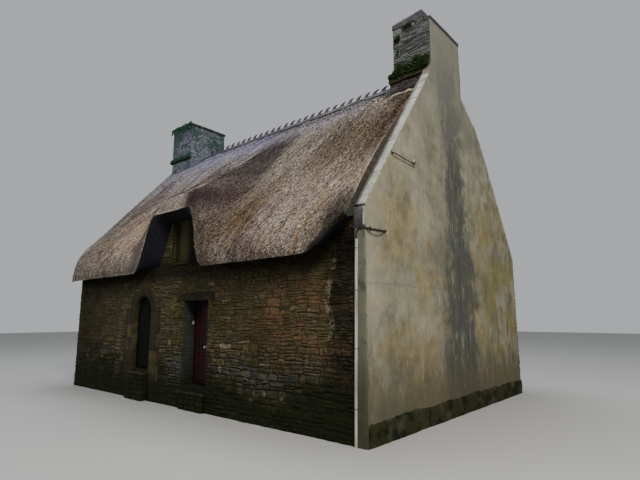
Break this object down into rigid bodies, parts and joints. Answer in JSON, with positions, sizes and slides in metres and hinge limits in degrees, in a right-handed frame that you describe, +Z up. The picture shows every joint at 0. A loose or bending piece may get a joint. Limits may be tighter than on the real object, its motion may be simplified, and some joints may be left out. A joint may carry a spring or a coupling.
{
  "type": "thatched cottage",
  "caption": "Stone cottage under a steep thatched roof with a swept hood over a loft door, a rendered gable, two end chimneys, a plank front door and a round-arched door.",
  "frame": {"origin": "on the ground at the middle of the plan of the walls, on the underside of the floor fill", "axes": "+X along the street front towards the rendered gable, +Y from the street front into the house, +Z up"},
  "size_m": [10.504, 7.77, 8.63],
  "materials": {
    "rubble": "rough schist rubble in lime mortar, mossy at the foot",
    "render": "weathered lime render with dark streaks and lichen",
    "dressed_stone": "dressed stone, weathered",
    "slate": "split slate, weathered, with moss",
    "thatch": "old straw thatch, combed down the slope",
    "old_wood": "bare weathered boards and beams",
    "door_paint": "dark red painted planks",
    "dark_wood": "dark stained planks",
    "earth": "stone flags on rammed fill",
    "iron": "dull old iron",
    "nickel": "worn nickel plate",
    "white_plastic": "white cable guard and bell push"
  },
  "bodies": {
    "house": {"front_wall_left": "rubble", "front_wall_between_doors": "rubble", "front_wall_right": "rubble", "front_wall_over_doors": "rubble", "loft_wall_left": "rubble", "loft_wall_right": "rubble", "loft_sill": "dressed_stone", "loft_door": "old_wood", "back_wall": "rubble", "party_wall_left": "rubble", "gable_wall_right": "render", "gable_plinth": "rubble", "coping_front": "dressed_stone", "coping_back": "dressed_stone", "chimney_right_foot": "rubble", "chimney_right_drip": "slate", "chimney_right_stack": "rubble", "chimney_right_cap": "slate", "chimney_left_stack": "rubble", "chimney_left_ledge": "slate", "chimney_left_cap": "slate", "thatch_front": "thatch", "thatch_back": "thatch", "ridge_slates": "slate", "ridge_slates_end": "slate", "ground_floor": "earth", "loft_floor": "old_wood", "loft_beam_1": "old_wood", "loft_beam_2": "old_wood", "loft_beam_3": "old_wood", "door_lintel": "dressed_stone", "door_threshold": "dressed_stone", "doorstep": "dressed_stone", "front_door_bell_push": "white_plastic", "front_door_pintle_1": "iron", "front_door_pintle_2": "iron", "arch_jamb_left": "dressed_stone", "arch_jamb_right": "dressed_stone", "arch_head": "dressed_stone", "arch_inner_lintel": "old_wood", "arch_threshold": "dressed_stone", "arch_step": "dressed_stone", "arched_door_pintle_1": "iron", "arched_door_pintle_2": "iron", "corner_cable_guard": "white_plastic", "lower_iron_bracket": "iron", "upper_iron_bracket": "iron"},
    "front_door_leaf": {"front_door": "door_paint", "front_door_knob": "nickel"},
    "arched_door_leaf": {"arched_door": "dark_wood"}
  },
  "joints": [
    {"name": "front_door_hinge", "type": "hinge", "parent": "house", "child": "front_door_leaf", "pos_m": [0.19, -3.109, 1.38], "axis": [0, 0, 1], "range_deg": [0, 95]},
    {"name": "arched_door_hinge", "type": "hinge", "parent": "house", "child": "arched_door_leaf", "pos_m": [-1.975, -3.309, 1.61], "axis": [0, 0, 1], "range_deg": [0, 90]}
  ]
}
